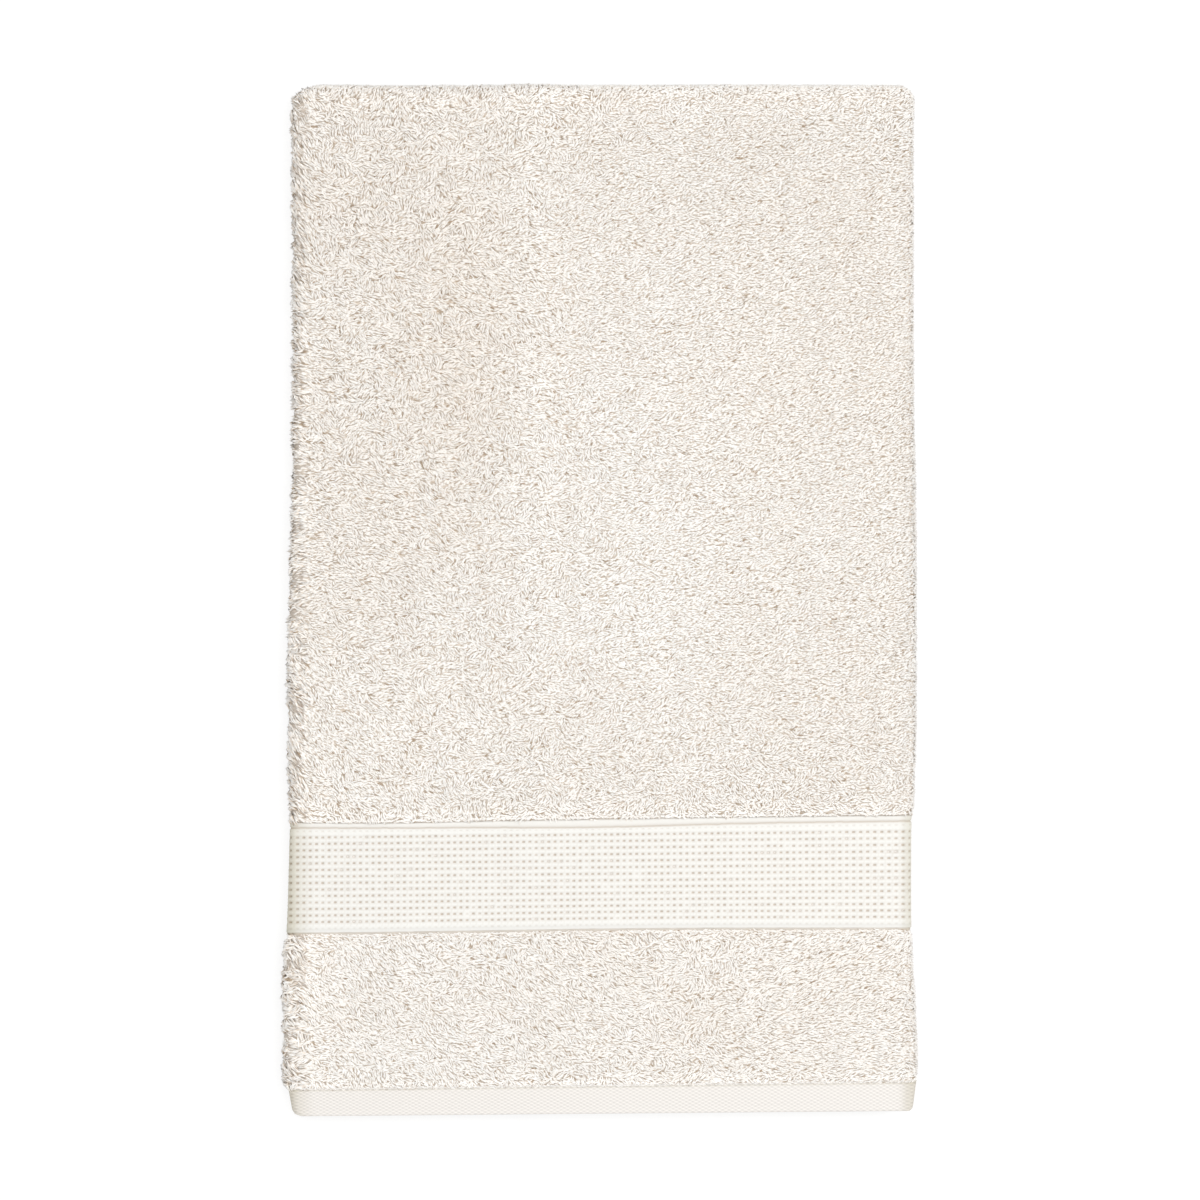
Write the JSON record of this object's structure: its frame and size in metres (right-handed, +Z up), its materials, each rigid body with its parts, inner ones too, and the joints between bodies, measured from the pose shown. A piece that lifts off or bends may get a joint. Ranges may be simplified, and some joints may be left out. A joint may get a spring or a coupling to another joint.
{
  "type": "bath towel",
  "caption": "Folded terry bath towel lying flat: side edges turned under, folded in half across, with a recessed flat border and a hem at the near end.",
  "frame": {"origin": "on the surface that the towel lies on, under the middle of its outline", "axes": "+X runs across the folded towel, +Y from the hems to the crosswise fold, +Z up from the surface"},
  "size_m": [0.3464, 0.563, 0.0221],
  "materials": {
    "terry": "ivory cotton terry, soft, matt and fluffy"
  },
  "bodies": {
    "root": {"towel": "terry"}
  },
  "joints": []
}
